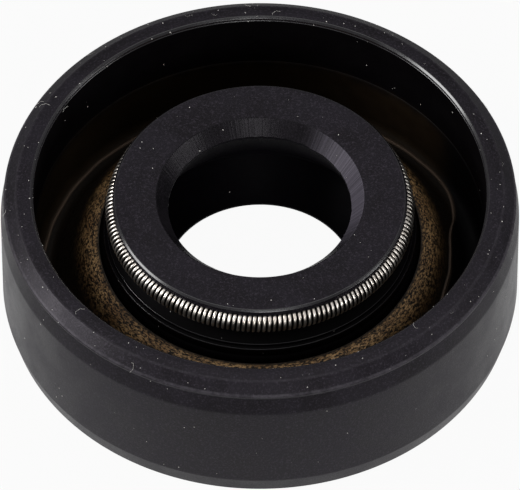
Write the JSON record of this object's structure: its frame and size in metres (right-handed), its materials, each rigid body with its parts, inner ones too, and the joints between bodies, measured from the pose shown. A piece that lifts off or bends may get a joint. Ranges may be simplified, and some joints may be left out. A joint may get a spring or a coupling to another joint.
{
  "type": "radial shaft seal",
  "caption": "Rubber-covered radial shaft seal with a spring-loaded main lip and a dust lip, which keeps oil in where a rotating shaft leaves a housing.",
  "frame": {"origin": "centre of the flat air-side face that the seal stands on", "axes": "+Z along the seal's axis from the air side to the oil side, where the garter spring lies; X and Y are across it"},
  "size_m": [0.026, 0.026, 0.008],
  "materials": {
    "rubber": "matte moulded nitrile rubber",
    "coated_steel": "golden brown bonding film on pressed steel",
    "spring_steel": "bare drawn spring wire"
  },
  "bodies": {
    "root": {"rubber_body": "rubber", "metal_case": "coated_steel", "garter_spring": "spring_steel"}
  },
  "joints": []
}
